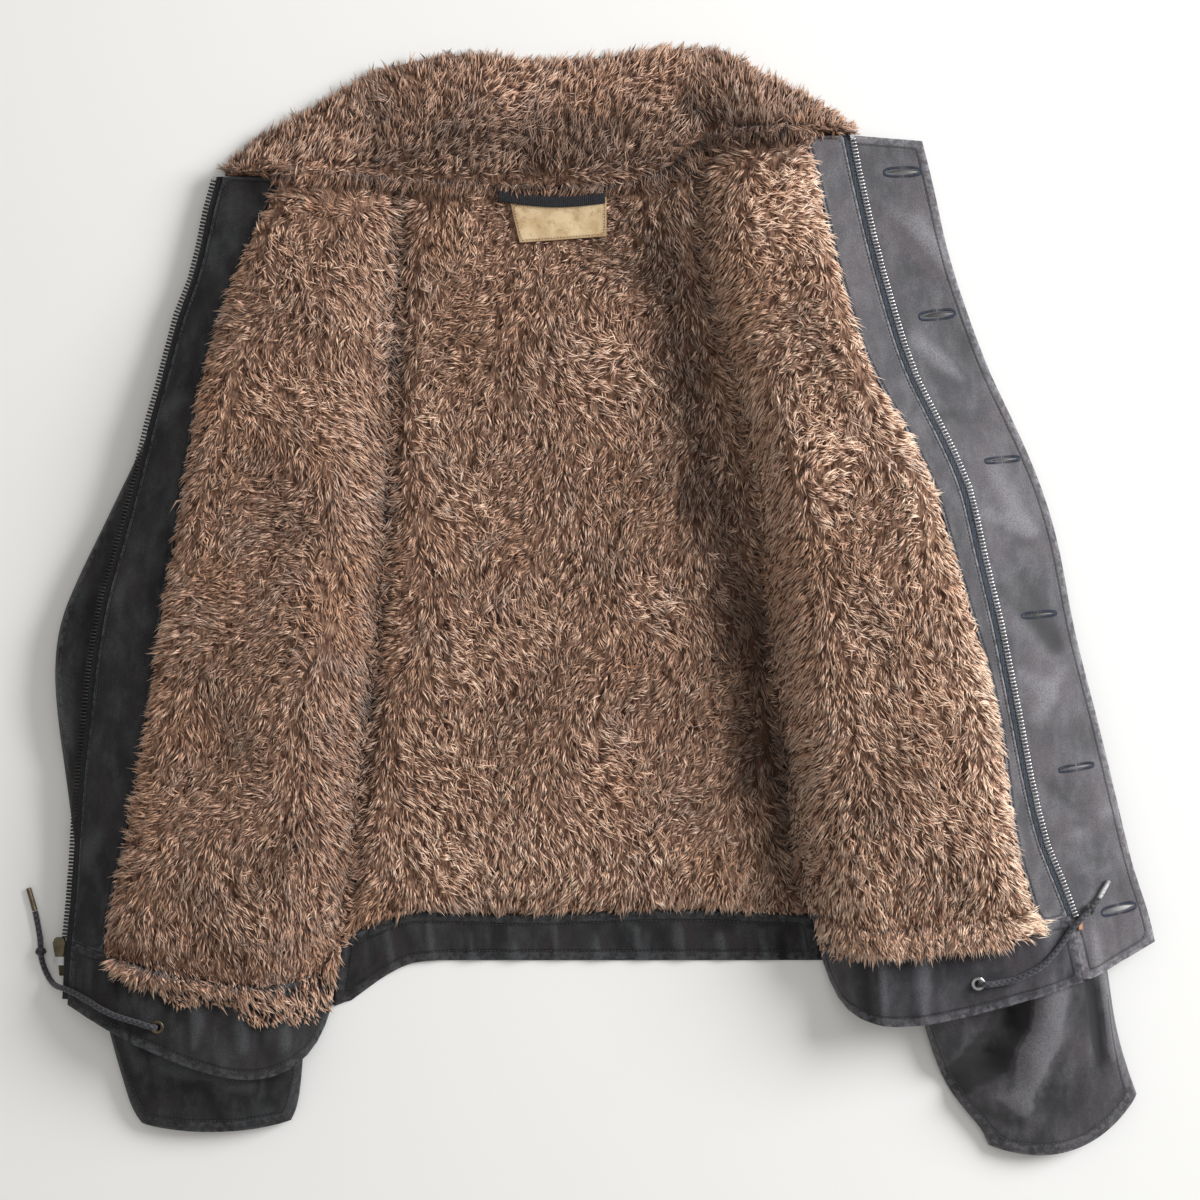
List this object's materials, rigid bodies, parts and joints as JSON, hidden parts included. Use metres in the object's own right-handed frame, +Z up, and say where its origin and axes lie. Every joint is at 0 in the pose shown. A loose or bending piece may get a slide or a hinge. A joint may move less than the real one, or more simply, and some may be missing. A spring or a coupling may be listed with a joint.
{
  "type": "deck jacket laid open flat",
  "caption": "Waist-length deck jacket laid open on its back, pile lining up, fronts turned out over the sleeves, with collar, zip, wind flap and hem drawstring.",
  "frame": {"origin": "on the surface the jacket lies on, under the middle of the jacket's box without its drawstring ends", "axes": "+Z up from the surface, +Y towards the collar, +X towards the wearer's left front"},
  "size_m": [0.8653, 0.8488, 0.0646],
  "materials": {
    "outer_cloth": "washed charcoal cotton grosgrain, matt",
    "facing_cloth": "washed charcoal cotton, matt, topstitched",
    "pile": "deep brown pile with tan tips and dark roots",
    "zip_tape": "navy cotton tape",
    "zip_metal": "bright, lightly worn",
    "dark_brass": "dark, worn",
    "steel": "satin",
    "copper": "worn copper plate",
    "button": "dark, half gloss",
    "label": "cream woven cloth, bare",
    "cord": "dark braided cotton"
  },
  "bodies": {
    "jacket": {"back_shell": "outer_cloth", "back_hem_band": "facing_cloth", "back_pile": "pile", "right_front_shell": "outer_cloth", "right_front_hem_band": "facing_cloth", "right_front_facing": "facing_cloth", "right_front_pile": "pile", "left_front_shell": "outer_cloth", "left_front_hem_band": "facing_cloth", "left_front_facing": "facing_cloth", "left_front_pile": "pile", "wind_flap": "outer_cloth", "collar_shell": "outer_cloth", "collar_pile": "pile", "sleeve_right": "outer_cloth", "sleeve_left": "outer_cloth", "zip_tape_right": "zip_tape", "zip_teeth_right": "zip_metal", "zip_stop_right": "zip_metal", "zip_tape_left": "zip_tape", "zip_teeth_left": "zip_metal", "zip_stop_left": "zip_metal", "zip_slider": "dark_brass", "zip_box": "steel", "zip_pin": "copper", "button_1": "button", "button_2": "button", "button_3": "button", "button_4": "button", "button_5": "button", "button_6": "button", "size_label": "label", "hanger_loop": "zip_tape", "eyelet_right": "dark_brass", "eyelet_left": "steel", "cord_right": "cord", "cord_tail_right": "cord", "knot_right": "cord", "aglet_right": "dark_brass", "cord_left": "cord", "cord_tail_left": "cord", "knot_left": "cord", "aglet_left": "steel"},
    "zip_pull": {"zip_pull_tab": "dark_brass"}
  },
  "joints": [
    {"name": "pull_tab_hinge", "type": "hinge", "parent": "jacket", "child": "zip_pull", "pos_m": [-0.4155, -0.2645, 0.00907], "axis": [1, 0, 0], "range_deg": [-18, 160]}
  ]
}
